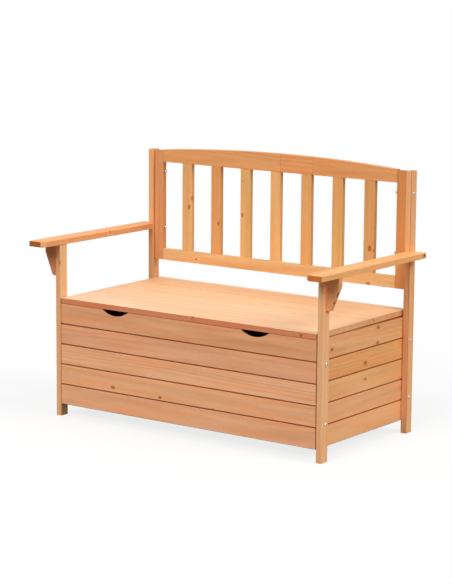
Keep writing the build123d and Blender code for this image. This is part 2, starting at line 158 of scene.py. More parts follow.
def settle(piece: bpy.types.Object, body: str, slot: Slot, *nodes: str) -> None:
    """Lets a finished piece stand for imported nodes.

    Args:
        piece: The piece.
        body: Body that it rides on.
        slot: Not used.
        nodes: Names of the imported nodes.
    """
    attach(piece, body)
    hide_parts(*nodes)
    LOG.info("%s on %s", piece.name, body)


def merged(node: bpy.types.Object) -> bmesh.types.BMesh:
    """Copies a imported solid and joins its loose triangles.

    Args:
        node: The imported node, which stays as it is.

    Returns:
        A closed mesh with flat areas dissolved.
    """
    work = bmesh.new()
    work.from_mesh(node.data)
    bmesh.ops.remove_doubles(work, verts=work.verts, dist=WELD)
    bmesh.ops.dissolve_limit(work, angle_limit=COPLANAR, verts=work.verts, edges=work.edges)
    return work


def plain_mesh(name: str, work: bmesh.types.BMesh) -> bpy.types.Mesh:
    """Makes a mesh whose flat faces stay flat and whose rounded edges are shaded smooth.

    Args:
        name: The mesh's name.
        work: The shape, which is freed.

    Returns:
        The mesh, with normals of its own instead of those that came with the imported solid.
    """
    for face in work.faces:
        face.smooth = True
    for edge in work.edges:
        areas = sorted(face.calc_area() for face in edge.link_faces)
        bend = edge.calc_face_angle(math.pi)
        edge.smooth = bend < EVEN or (bend < ROUNDED and areas[1] < FLAT_TO_FACET * areas[0])
    mesh = bpy.data.meshes.new(name)
    work.to_mesh(mesh)
    work.free()
    mesh.attributes.remove(mesh.attributes["custom_normal"])
    return mesh


def islands(work: bmesh.types.BMesh) -> list[list[bmesh.types.BMVert]]:
    """Splits a mesh into its separate solids.

    Args:
        work: Mesh with merged vertices.

    Returns:
        The vertices of each solid, ordered by the middle of its box.
    """
    left = set(work.verts)
    groups = []
    for seed in work.verts:
        if seed not in left:
            continue
        left.discard(seed)
        group = []
        stack = [seed]
        while stack:
            vert = stack.pop()
            group.append(vert)
            near = [edge.other_vert(vert) for edge in vert.link_edges]
            fresh = [other for other in near if other in left]
            left.difference_update(fresh)
            stack.extend(fresh)
        groups.append(group)
    return sorted(groups, key=lambda group: tuple(round(c, 4) for c in sum(box_of(group), Vector())))


def box_of(verts: list[bmesh.types.BMVert]) -> tuple[Vector, Vector]:
    """Gives the box round some vertices.

    Args:
        verts: The vertices.

    Returns:
        Its lowest and highest corners.
    """
    low = Vector([min(v.co[i] for v in verts) for i in range(3)])
    high = Vector([max(v.co[i] for v in verts) for i in range(3)])
    return low, high


class Slot(Enum):
    """The record's material slots."""

    FRAME = "frame_fir"
    WALL = "wall_fir"
    SEAT = "seat_fir"
    INNER = "inner_fir"
    ZINC = "zinc_steel"


class Grain(Enum):
    """How a board lies: the axes of its grain, its face width and its thickness."""

    SEAT = (0, 1, 2)
    RAIL = (0, 2, 1)
    SIDE = (1, 2, 0)
    POST = (2, 1, 0)
    ARM = (1, 0, 2)
    SLAT = (2, 0, 1)


@dataclass(frozen=True)
class Knot:
    """A knot in one board: its middle in the bench's frame and its width, in millimetres.

    A paleness near 1 leaves only a soft stain, and one below 0 opens a pale heart in a dark rim.
    """

    board: str
    place: Point
    width: float
    pale: float = 0.4


@dataclass(frozen=True)
class Cut:
    """Where a board was sawn from its log, in metres, and so how its rings meet its faces."""

    board: str
    grain: Grain
    number: int
    log_length: float = 3.0
    off_pith: float = 0.028
    depth: Span = (0.045, 0.085)

    def offset(self) -> Vector:
        """Draws the board's place in its own log.

        Returns:
            Metres along, across and through the log.
        """
        chance = random.Random(self.board)
        side = chance.choice((-1, 1))
        across = chance.uniform(-self.off_pith, self.off_pith)
        return Vector((self.log_length * self.number, across, side * chance.uniform(*self.depth)))

    def in_log(self, place: Vector, middle: Vector) -> Vector:
        """Places a point in the log.

        Args:
            place: Point in the bench's frame, in metres.
            middle: Middle of the board's box, in metres.

        Returns:
            Metres along the grain, across the face and through the thickness, from the pith.
        """
        apart = place - middle
        return Vector([apart[axis] for axis in self.grain.value]) + self.offset()


@dataclass(frozen=True)
class FaceTint:
    """Colour of the faces whose normal leans along one axis by an amount between two limits. Some are the
    wood's own colour, such as darker end grain, and some are painted light and painted shade, set by the way
    a face looks.
    """

    axis: int
    least: float
    most: float
    tint: Rgb

    def takes(self, normal: Vector) -> bool:
        """Says whether a face with this normal takes the tint."""
        return self.least < normal[self.axis] < self.most


@dataclass(frozen=True)
class Seam:
    """Strips beside a joint, tinted darker as painted shade where a piece meets its neighbour: the axis
    across them and their widths.

    Widths are in millimetres, and one below 0 leaves that side as it is.
    """

    axis: int = 0
    low: float = -1.0
    high: float = -1.0

    def places(self, board: str) -> list[float]:
        """Gives where the strips at the low and high side of a board end along the axis, in metres."""
        low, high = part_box(board)
        return [low[self.axis] + self.low * MM, high[self.axis] - self.high * MM]

    def takes(self, place: Vector, limits: list[float]) -> bool:
        """Says whether a point lies in a strip."""
        return not limits[0] < place[self.axis] < limits[1]


@dataclass(frozen=True)
class FirFinish:
    """Fir boards, planed and stained with a honey oil.

    The planer leaves a smooth, slightly soft surface. The eye sees pale earlywood between
    darker latewood rings that run as long lines and pointed arches, fine fibres along the
    grain, a few dark knots and a low, broad sheen from the oil. Real rings are 2 to 4 mm apart
    and fibres finer still: both are drawn coarser, so that they show.

    Noises are given by their changes per millimetre along, across and through a board, and the
    layers of a knot by where each starts and is full, in half widths of the knot.
    """

    name: str
    early: str
    late: str
    blush: Rgb = (1.02, 0.89, 0.79)
    blush_span: Span = (0.42, 0.68)
    blush_per_mm: Point = (0.0035, 0.045, 0.045)
    knot_layers: tuple[tuple[float, float, str], ...] = (
        (1.7, 0.8, "#C67732"),
        (1.0, 0.4, "#90470F"),
        (0.05, -0.25, "#DC9C62"),
    )
    knot_shape: Point = (0.62, 1.0, 0.6)
    knot_cover: float = 0.75
    knot_swell: float = 0.9
    ring_mm: float = 8.0
    ring_depth: float = 0.36
    ring_foot: float = 0.1
    ring_span: Span = (0.4, 0.62)
    drift_per_m: Point = (0.9, 7.0, 7.0)
    drift_m: Point = (0.0, 0.045, 0.045)
    fibre_per_mm: Point = (0.035, 1 / 2.8, 1 / 2.8)
    fibre_depth: float = 0.12
    cloud_per_mm: Point = (0.0022, 0.03, 0.03)
    cloud_depth: float = 0.15
    roughness: Span = (0.45, 0.61)
    sheen: float = 0.3
    relief: float = 0.25
    relief_mm: float = 0.4

    def build(self, knots: list[tuple[Vector, Knot]]) -> bpy.types.Material:
        """Makes the material.

        Args:
            knots: The knots with their places in the log, in metres.

        Returns:
            The material, which reads the boards' grain and tint attributes.
        """
        material = bpy.data.materials.new(self.name)
        add = bare_nodes(material)
        grain = add("ShaderNodeAttribute", output="Vector", attribute_name="grain")
        tint = add("ShaderNodeAttribute", output="Vector", attribute_name="tint")
        near = self.knot_distance(add, grain, knots)
        rings = self.rings(add, grain, near)
        fibre = self.noise(add, grain, self.fibre_per_mm, 5.0)
        cloud = self.noise(add, grain, self.cloud_per_mm, 2.0)
        flush = self.noise(add, grain, self.blush_per_mm, 1.0)
        sides = {0: rings, 6: linear(self.early), 7: linear(self.late)}
        wood = add("ShaderNodeMix", sides, 2, data_type="RGBA")
        red = add("ShaderNodeVectorMath", {0: wood, 1: self.blush}, operation="MULTIPLY")
        least, most = self.blush_span
        blend = add("ShaderNodeMapRange", {0: flush, 1: least, 2: most})
        wood = add("ShaderNodeMix", {0: blend, 6: wood, 7: red}, 2, data_type="RGBA")
        wood = add("ShaderNodeVectorMath", {0: wood, 1: tint}, operation="MULTIPLY")
        for noise, depth in ((fibre, self.fibre_depth), (cloud, -self.cloud_depth)):
            ends = {0: noise, 1: 0.25, 2: 0.75, 3: 1 + depth / 2, 4: 1 - depth / 2}
            level = add("ShaderNodeMapRange", ends)
            wood = add("ShaderNodeVectorMath", {0: wood, 3: level}, operation="SCALE")
        for start, full, colour in self.knot_layers if knots else ():
            ends = {0: near, 1: start, 2: full, 3: 0.0, 4: self.knot_cover}
            mask = add("ShaderNodeMapRange", ends, interpolation_type="SMOOTHSTEP")
            wood = add("ShaderNodeMix", {0: mask, 6: wood, 7: linear(colour)}, 2, data_type="RGBA")
        smooth, coarse = self.roughness
        rough = add("ShaderNodeMapRange", {0: fibre, 3: smooth, 4: coarse})
        height = add("ShaderNodeMath", {0: fibre, 1: rings}, operation="ADD")
        relief = {"Strength": self.relief, "Distance": self.relief_mm * MM, "Height": height}
        bump = add("ShaderNodeBump", relief)
        look = {"Base Color": wood, "Roughness": rough, "Normal": bump, "Specular IOR Level": self.sheen}
        add("ShaderNodeOutputMaterial", {"Surface": add("ShaderNodeBsdfPrincipled", look)})
        return material

    def noise(self, add: AddNode, grain: Socket, per_mm: Point, detail: float) -> Socket:
        """Adds a noise stretched along the grain.

        Args:
            add: Adds a node to the material's tree.
            grain: Place in the log, in metres.
            per_mm: Changes per millimetre along, across and through the board.
            detail: Octaves of finer noise.

        Returns:
            The noise's value.
        """
        scale = tuple(per / MM for per in per_mm)
        place = add("ShaderNodeVectorMath", {0: grain, 1: scale}, operation="MULTIPLY")
        look = {"Vector": place, "Scale": 1.0, "Detail": detail, "Roughness": 0.55}
        return add("ShaderNodeTexNoise", look, "Fac")

    def knot_distance(self, add: AddNode, grain: Socket, knots: list[tuple[Vector, Knot]]) -> Socket | None:
        """Measures how far a point is from the nearest knot.

        Args:
            add: Adds a node to the material's tree.
            grain: Place in the log, in metres.
            knots: The knots with their places in the log, in metres.

        Returns:
            The distance in half widths of that knot, more for a pale one, or None without knots.
        """
        shape = Vector(self.knot_shape)
        spread = add("ShaderNodeVectorMath", {0: grain, 1: shape}, operation="MULTIPLY")
        near = None
        for place, knot in knots:
            away = add("ShaderNodeVectorMath", {0: spread, 1: place * shape}, "Value", operation="DISTANCE")
            terms = {0: away, 1: 2 / (knot.width * MM), 2: knot.pale}
            away = add("ShaderNodeMath", terms, operation="MULTIPLY_ADD")
            near = away if near is None else add("ShaderNodeMath", {0: near, 1: away}, operation="MINIMUM")
        return near

    def rings(self, add: AddNode, grain: Socket, near: Socket | None) -> Socket:
        """Draws the growth rings, which bend round knots.

        Args:
            add: Adds a node to the material's tree.
            grain: Place in the log, in metres.
            near: Distance from the nearest knot, or None.

        Returns:
            A value that is 0 in earlywood and rises to the ring depth in latewood.
        """
        slow = add("ShaderNodeVectorMath", {0: grain, 1: self.drift_per_m}, operation="MULTIPLY")
        drift = add("ShaderNodeTexNoise", {"Vector": slow, "Scale": 1.0, "Detail": 2.0}).node.outputs
        terms = {0: drift["Color"], 1: self.drift_m, 2: grain}
        bent = add("ShaderNodeVectorMath", terms, operation="MULTIPLY_ADD")
        flat = add("ShaderNodeVectorMath", {0: bent, 1: (0.0, 1.0, 1.0)}, operation="MULTIPLY")
        radius = add("ShaderNodeVectorMath", {0: flat}, "Value", operation="LENGTH")
        count = add("ShaderNodeMath", {0: radius, 1: self.ring_mm * MM}, operation="DIVIDE")
        if near is not None:
            ends = {0: near, 1: 4.0, 2: 0.5, 3: 0.0, 4: self.knot_swell}
            swell = add("ShaderNodeMapRange", ends, interpolation_type="SMOOTHSTEP")
            count = add("ShaderNodeMath", {0: count, 1: swell}, operation="ADD")
        phase = add("ShaderNodeMath", {0: count}, operation="FRACT")
        ramp = add("ShaderNodeValToRGB", {0: phase}, "Color")
        foot, depth = self.ring_foot, self.ring_depth
        stops = ((0.0, foot), (0.35, 0.0), (0.78, depth), (0.92, depth), (1.0, foot))
        elements = ramp.node.color_ramp.elements
        while len(elements) < len(stops):
            elements.new(0.5)
        for element, (position, level) in zip(elements, stops):
            element.position = position
            element.color = (level, level, level, 1.0)
        least, most = self.ring_span
        clear = add("ShaderNodeMapRange", {0: drift["Fac"], 1: least, 2: most, 3: 0.25, 4: 1.0})
        return add("ShaderNodeMath", {0: ramp, 1: clear}, operation="MULTIPLY")


@dataclass(frozen=True)
class ZincFinish:
    """Steel with bright zinc plating.

    The bath leaves a silvery grey skin with faint cloudy patches and soft reflections. Its colour is
    warmed a little, partly as a painted reflection of the wood round it, and the sockets are painted
    near black as painted shade. The patches are drawn coarser than they are, so that they show.
    """

    name: str = "zinc_plated_steel"
    # Both colours are warmed a little, partly as a painted reflection of the wood round them.
    bright: str = "#E8DCD3"
    dull: str = "#B0A49C"
    # Painted shade: the colour of the sockets.
    socket: str = "#1E1B18"
    patch_mm: float = 3.0
    roughness: Span = (0.24, 0.44)

    def build(self) -> bpy.types.Material:
        """Makes the material.

        Returns:
            The material, whose patches lie on Object coordinates.
        """
        material = bpy.data.materials.new(self.name)
        add = bare_nodes(material)
        place = add("ShaderNodeTexCoord", output="Object")
        look = {"Vector": place, "Scale": 1 / (self.patch_mm * MM), "Detail": 3.0}
        patch = add("ShaderNodeTexNoise", look, "Fac")
        sides = {0: patch, 6: linear(self.bright), 7: linear(self.dull)}
        colour = add("ShaderNodeMix", sides, 2, data_type="RGBA")
        # Painted shade in the sockets, on faces that the fastener's mesh marks.
        shaded_recess = add("ShaderNodeAttribute", output="Fac", attribute_name="shaded_recess")
        sides = {0: shaded_recess, 6: colour, 7: linear(self.socket)}
        colour = add("ShaderNodeMix", sides, 2, data_type="RGBA")
        smooth, coarse = self.roughness
        rough = add("ShaderNodeMapRange", {0: patch, 3: smooth, 4: coarse})
        look = {"Base Color": colour, "Roughness": rough, "Metallic": 1.0}
        add("ShaderNodeOutputMaterial", {"Surface": add("ShaderNodeBsdfPrincipled", look)})
        return material


FIR = {
    Slot.FRAME: FirFinish("oiled_fir_planed_frame", "#F7BF86", "#D98F52"),
    Slot.WALL: FirFinish("oiled_fir_planed_boards", "#F8BE8D", "#DB915E", cloud_depth=0.21),
    Slot.SEAT: FirFinish("oiled_fir_planed_seat", "#FFD3A6", "#F0B583"),
    Slot.INNER: FirFinish("sawn_fir_bare", "#E9C79B", "#C79A66", roughness=(0.65, 0.81), fibre_depth=0.24),
}

KNOTS = (
    Knot("lid_board_1", (-226, 175, 389), 13, 0.9),
    Knot("lid_board_1", (-111, 187, 389), 11, 0.95),
    Knot("lid_board_1", (10, 197, 389), 11, 0.95),
    Knot("lid_board_1", (164, 178, 389), 13, 0.85),
    Knot("lid_board_2", (-288, 92, 388), 11, 1),
    Knot("lid_board_2", (-78, 71, 388), 11, 1),
    Knot("lid_board_2", (98, 78, 388), 11, 0.85),
    Knot("lid_board_2", (239, 98, 388), 13, 0.95),
    Knot("lid_board_2", (367, 71, 388), 11, 0.95),
    Knot("lid_board_2", (393, 42, 388), 10, 0.95),
    Knot("lid_board_2", (354, 121, 388), 10, 0.95),
    Knot("lid_board_2", (487, 95, 381), 7, 0.3),
    Knot("lid_board_3", (487, 30, 380), 6, 0.7),
    Knot("lid_board_3", (487, -31, 381), 6, 0.75),
    Knot("lid_board_4", (36, -216, 383), 9, 0.45),
    Knot("lid_board_4", (434, -216, 375), 6, 0),
    Knot("right_board_5", (491, 117, 357), 13, 0.25),
    Knot("right_board_5", (491, 114, 309), 11, 0.15),
    Knot("right_board_5", (491, -137, 328), 11, 0.25),
    Knot("right_board_4", (491, 47, 257), 13, 0.15),
    Knot("right_board_3", (491, 49, 207), 8, 0.05),
    Knot("front_board_2", (-277, -215, 122), 5, -0.95),
    Knot("front_board_2", (-89, -215, 116), 4.5, -0.9),
    Knot("front_board_2", (114, -215, 107), 9, 0.25),
    Knot("front_left_post", (-491.5, -216, 497), 10, 0.5),
    Knot("back_bottom_rail", (357, 267, 458), 8, 0.1),
    Knot("back_bottom_rail", (-316, 267, 467), 8, 0.4),
    Knot("left_arm", (-493.5, 36, 569), 10, 0.6),
    Knot("left_board_4", (-491, 60, 262), 12, 0.3),
    Knot("left_board_2", (-491, -90, 140), 10, 0.3),
    Knot("back_board_2", (-180, 291, 135), 12, 0.2),
    Knot("back_board_4", (240, 291, 268), 12, 0.2),
    Knot("back_slat_1", (-335, 268, 668), 11, 0.3),
    Knot("back_slat_1", (-347, 268, 639), 11, 0.2),
    Knot("back_slat_2", (-226, 268, 594), 9, 0.1),
    Knot("back_slat_3", (-130, 268, 631), 9, 0.1),
    Knot("back_slat_3", (-131, 268, 741), 8, 0.6),
    Knot("back_slat_7", (359, 268, 568), 8, -0.5),
    Knot("back_slat_7", (374, 268, 563), 8, 0.5),
)


@dataclass
class Woodshop:
    """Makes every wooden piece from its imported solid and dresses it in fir."""

    nodes: dict[str, bpy.types.Object]
    cuts: dict[str, Cut] = field(default_factory=dict)
    materials: dict[Slot, bpy.types.Material] = field(default_factory=dict)
    end_tint: Rgb = (0.74, 0.62, 0.5)
    end_lean: Span = (0.8, 1.1)
    jointed: str = "back_top_rail"
    joints_mm: Span = (19.0, 144.0)
    glue_mm: float = 1.4
    glue_tint: Rgb = (0.72, 0.62, 0.55)
    length_shade: Rgb = (1.03, 0.96, 0.92)
    length_shift: Point = (0.71, 0.009, 0.0)
    solid_shift: Point = (0.37, 0.004, 0.0)
    solid_light: Span = (0.95, 1.05)
    # Painted shade in the strips beside a joint.
    seam_shade: Rgb = (0.6, 0.38, 0.26)

    def plan(self, boards: dict[str, tuple[Grain, Slot]]) -> None:
        """Saws the boards from their logs and makes the finishes with their knots.

        Args:
            boards: Grain and finish of every board, by node name.
        """
        for number, (board, (grain, _)) in enumerate(sorted(boards.items())):
            self.cuts[board] = Cut(board, grain, number)
        for slot, finish in FIR.items():
            knots = [knot for knot in KNOTS if boards[knot.board][1] is slot]
            self.materials[slot] = finish.build([(self.knot_place(knot), knot) for knot in knots])

    def middle(self, board: str) -> Vector:
        """Gives the middle of a board's box, in metres."""
        low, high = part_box(board)
        return (low + high) / 2

    def knot_place(self, knot: Knot) -> Vector:
        """Gives a knot's place in its board's log, in metres."""
        return self.cuts[knot.board].in_log(Vector(knot.place) * MM, self.middle(knot.board))

    def board(
        self,
        node: str,
        slot: Slot,
        body: str,
        tint: Rgb,
        face_tints: tuple[FaceTint, ...] = (),
        seam: Seam = Seam(),
    ) -> None:
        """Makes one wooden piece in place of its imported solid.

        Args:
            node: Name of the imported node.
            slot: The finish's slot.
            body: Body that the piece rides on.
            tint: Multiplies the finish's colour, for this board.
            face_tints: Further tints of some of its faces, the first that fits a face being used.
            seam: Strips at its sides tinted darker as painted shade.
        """
        work = merged(self.nodes[node])
        joints = self.glue_lines(node, work)
        limits = seam.places(node)
        self.slice(work, seam.axis, limits)
        grain = work.loops.layers.float_vector.new("grain")
        shade = work.faces.layers.float_vector.new("tint")
        cut = self.cuts[node]
        middle = self.middle(node)
        chance = random.Random(node)
        solids = islands(work)
        for number, verts in enumerate(solids):
            light = chance.uniform(*self.solid_light) if len(solids) > 1 else 1.0
            for face in {face for vert in verts for face in vert.link_faces}:
                place = face.calc_center_median()
                length = sum(place.x > joint for joint in joints)
                shift = Vector(self.solid_shift) * number + Vector(self.length_shift) * length
                for loop in face.loops:
                    loop[grain] = cut.in_log(loop.vert.co, middle) + shift
                colour = self.face_tint(face.normal, face_tints, cut.grain)
                face[shade] = Vector(tint) * light * colour * self.length_tint(place.x, joints)
                # Painted shade in the strips beside a joint.
                if seam.takes(place, limits):
                    face[shade] *= Vector(self.seam_shade)
        mesh = plain_mesh(node, work)
        mesh.materials.append(self.materials[slot])
        settle(new_object(f"{node}_fir", mesh), body, slot, node)

    def glue_lines(self, node: str, work: bmesh.types.BMesh) -> list[float]:
        """Cuts the faces of the finger-jointed rail where its lengths meet.

        Args:
            node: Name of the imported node.
            work: Its mesh.

        Returns:
            Where the joints are along X, in metres, or nothing for other pieces.
        """
        joints = [x * MM for x in self.joints_mm] if node == self.jointed else []
        half = self.glue_mm * MM / 2
        self.slice(work, 0, [joint + side for joint in joints for side in (-half, half)])
        return joints

    def slice(self, work: bmesh.types.BMesh, axis: int, places: list[float]) -> None:
        """Cuts the faces of a mesh along planes across one axis.

        Args:
            work: The mesh.
            axis: Number of the axis.
            places: Where the planes cross it, in metres.
        """
        way = Vector([float(i == axis) for i in range(3)])
        for place in places:
            parts = list(work.verts) + list(work.edges) + list(work.faces)
            bmesh.ops.bisect_plane(work, geom=parts, dist=ON_PLANE, plane_co=way * place, plane_no=way)

    def length_tint(self, place: float, joints: list[float]) -> Vector:
        """Gives the tint of one length of the finger-jointed rail, or of the glue line between two.

        Args:
            place: Middle of a face along X, in metres.
            joints: Where the joints are along X, in metres.

        Returns:
            The multipliers of red, green and blue.
        """
        if any(abs(place - joint) < 0.5 * self.glue_mm * MM for joint in joints):
            return Vector(self.glue_tint)
        length = sum(place > joint for joint in joints)
        return PLAIN if length % 2 == 0 else Vector(self.length_shade)

    def face_tint(self, normal: Vector, face_tints: tuple[FaceTint, ...], grain: Grain) -> Vector:
        """Gives the tint of a face, darker where the grain ends.

        Args:
            normal: The face's normal.
            face_tints: Tints of the board's faces by the way they look, some the wood's own colour and some
                painted light and painted shade.
            grain: How the board lies.

        Returns:
            The multipliers of red, green and blue.
        """
        end = grain.value[0]
        least, most = self.end_lean
        ends = (FaceTint(end, least, most, self.end_tint), FaceTint(end, -most, -least, self.end_tint))
        taken = [tint_rule.tint for tint_rule in face_tints + ends if tint_rule.takes(normal)]
        return Vector(taken[0]) if taken else PLAIN


class Outline(Enum):
    """Outline of one ring of a turned or pressed fastener."""

    ROUND = "round"
    HEX = "hex"
    CROSS = "cross"


@dataclass(frozen=True)
class Ring:
    """One ring of a fastener: its radius and height in millimetres, and its outline."""

    radius: float
    height: float
    outline: Outline = Outline.ROUND

    def reach(self, angle: float) -> float:
        """Gives the ring's radius at an angle.

        Args:
            angle: Angle round the fastener, in radians.

        Returns:
            The radius in metres, where a hex ring's radius is to its flats.
        """
        if self.outline is Outline.HEX:
            turn = (angle + math.pi / 6) % (math.pi / 3) - math.pi / 6
            return self.radius * MM / math.cos(turn)
        if self.outline is Outline.CROSS:
            return self.radius * MM * (0.35 + 0.65 * abs(math.cos(2 * angle)) ** 6)
        return self.radius * MM


def rings_of(outline: Outline, *sizes: Span) -> tuple[Ring, ...]:
    """Gives rings of one outline from their radii and heights in millimetres."""
    return tuple(Ring(radius, height, outline) for radius, height in sizes)


@dataclass(frozen=True)
class Fastener:
    """A fastener about +Z, with the middle of its face at the origin.

    Its head is given by its rings, from the shank to the face and down into the socket, and the
    shank by its radius in millimetres, which is 0 for a nut.
    """

    name: str
    rings: tuple[Ring, ...]
    shank: float = 0.0
    segments: int = 24
    crease: float = 34.0

    def mesh(self, length: float) -> bpy.types.Mesh:
        """Builds the fastener as a closed mesh with its socket marked for painted shade.

        Args:
            length: From the face to the tip of the shank, in metres.

        Returns:
            The mesh, with its normals outwards.
        """
        rings = list(self.rings)
        if self.shank:
            rings[0] = Ring(self.shank, rings[0].height)
            rings.insert(0, Ring(self.shank, -length / MM))
        heights = [ring.height for ring in rings]
        crest = heights.index(max(heights))
        work = bmesh.new()
        shaded_recess = work.faces.layers.float.new("shaded_recess")
        loops = [self.loop(work, ring) for ring in rings]
        for number, (lower, upper) in enumerate(zip(loops, loops[1:])):
            # Faces of the socket are marked to be painted near black as shade.
            sunk = number > crest and rings[number].outline is not Outline.ROUND
            for i in range(self.segments):
                j = (i + 1) % self.segments
                work.faces.new((lower[i], lower[j], upper[j], upper[i]))[shaded_recess] = float(sunk)
        work.faces.new(list(reversed(loops[0])))
        work.faces.new(loops[-1])[shaded_recess] = float(len(loops) - 1 > crest)
        bmesh.ops.recalc_face_normals(work, faces=work.faces)
        for face in work.faces:
            face.smooth = True
        mesh = bpy.data.meshes.new(self.name)
        work.to_mesh(mesh)
        work.free()
        mesh.set_sharp_from_angle(angle=math.radians(self.crease))
        return mesh

    def loop(self, work: bmesh.types.BMesh, ring: Ring) -> list[bmesh.types.BMVert]:
        """Adds the vertices of one ring.

        Args:
            work: The fastener's mesh.
            ring: The ring.

        Returns:
            Its vertices, in order.
        """
        turns = [2 * math.pi * i / self.segments for i in range(self.segments)]
        reaches = [(ring.reach(turn), turn) for turn in turns]
        return [work.verts.new((r * math.cos(a), r * math.sin(a), ring.height * MM)) for r, a in reaches]


BOLT_HEAD = Fastener(
    "bolt_head",
    rings_of(Outline.ROUND, (2.9, -3.5), (5.3, -3.4), (5.6, -3.1), (5.6, -1.6))
    + rings_of(Outline.ROUND, (5.3, -0.8), (4.6, -0.25), (3.6, 0.0))
    + rings_of(Outline.HEX, (2.15, 0.0), (2.0, -0.15), (2.0, -2.0)),
    shank=3.0,
)
CAP_NUT = Fastener(
    "cap_nut",
    rings_of(Outline.ROUND, (4.4, -9.6))
    + rings_of(Outline.HEX, (4.9, -9.25), (5.0, -8.9), (5.0, -5.2))
    + rings_of(Outline.ROUND, (4.6, -4.6), (4.5, -3.4), (4.0, -2.0), (3.0, -0.85), (1.6, -0.15), (0.4, 0.0)),
)
WOOD_SCREW_HEAD = Fastener(
    "wood_screw_head",
    rings_of(Outline.ROUND, (1.9, -2.4), (3.6, -0.5), (3.9, -0.2), (3.8, 0.0))
    + rings_of(Outline.CROSS, (2.2, 0.0), (1.2, -1.2)),
    shank=2.0,
)
HINGE_SCREW_HEAD = Fastener(
    "hinge_screw_head",
    rings_of(Outline.ROUND, (1.5, -0.9), (2.9, -0.8), (2.7, -0.3), (1.9, 0.0))
    + rings_of(Outline.CROSS, (1.4, 0.0), (0.8, -0.6)),
    shank=1.6,
)


def run_tree(
    tree: bpy.types.NodeTree,
    places: list[Vector],
    vectors: dict[str, list[Vector]],
    values: dict[str, object],
) -> bpy.types.Mesh:
    """Runs a geometry tree over loose points.

    Args:
        tree: The geometry tree.
        places: The points, in metres.
        vectors: A vector for each point, by attribute name.
        values: Values of the tree's inputs, by name.

    Returns:
        The realized mesh.
    """
    points = bpy.data.meshes.new("points")
    points.from_pydata([tuple(place) for place in places], [], [])
    for name, row in vectors.items():
        layer = points.attributes.new(name, "FLOAT_VECTOR", "POINT")
        for item, value in zip(layer.data, row):
            item.vector = value
    carrier = new_object("points", points)
    modifier = carrier.modifiers.new("tree", "NODES")
    modifier.node_group = tree
    sockets = [item for item in tree.interface.items_tree if item.in_out == "INPUT"]
    identifiers = {socket.name: socket.identifier for socket in sockets}
    for name, value in values.items():
        modifier[identifiers[name]] = value
    graph = bpy.context.evaluated_depsgraph_get()
    result = bpy.data.meshes.new_from_object(carrier.evaluated_get(graph))
    carrier.modifiers.clear()
    bpy.data.objects.remove(carrier)
    return result


def tree_with(
    name: str, inputs: dict[str, str]
) -> tuple[bpy.types.NodeTree, AddNode, bpy.types.NodeOutputs]:
    """Starts a geometry tree with named inputs and one mesh output.

    Args:
        name: The tree's name.
        inputs: Kinds of socket by input name.

    Returns:
        The tree, the function that adds nodes to it and the sockets that carry its inputs.
    """
    tree = bpy.data.node_groups.new(name, "GeometryNodeTree")
    for label, kind in {"Points": "Geometry", **inputs}.items():
        tree.interface.new_socket(label, in_out="INPUT", socket_type=f"NodeSocket{kind}")
    tree.interface.new_socket("Mesh", in_out="OUTPUT", socket_type="NodeSocketGeometry")
    add = partial(add_node, tree)
    return tree, add, add("NodeGroupInput").node.outputs


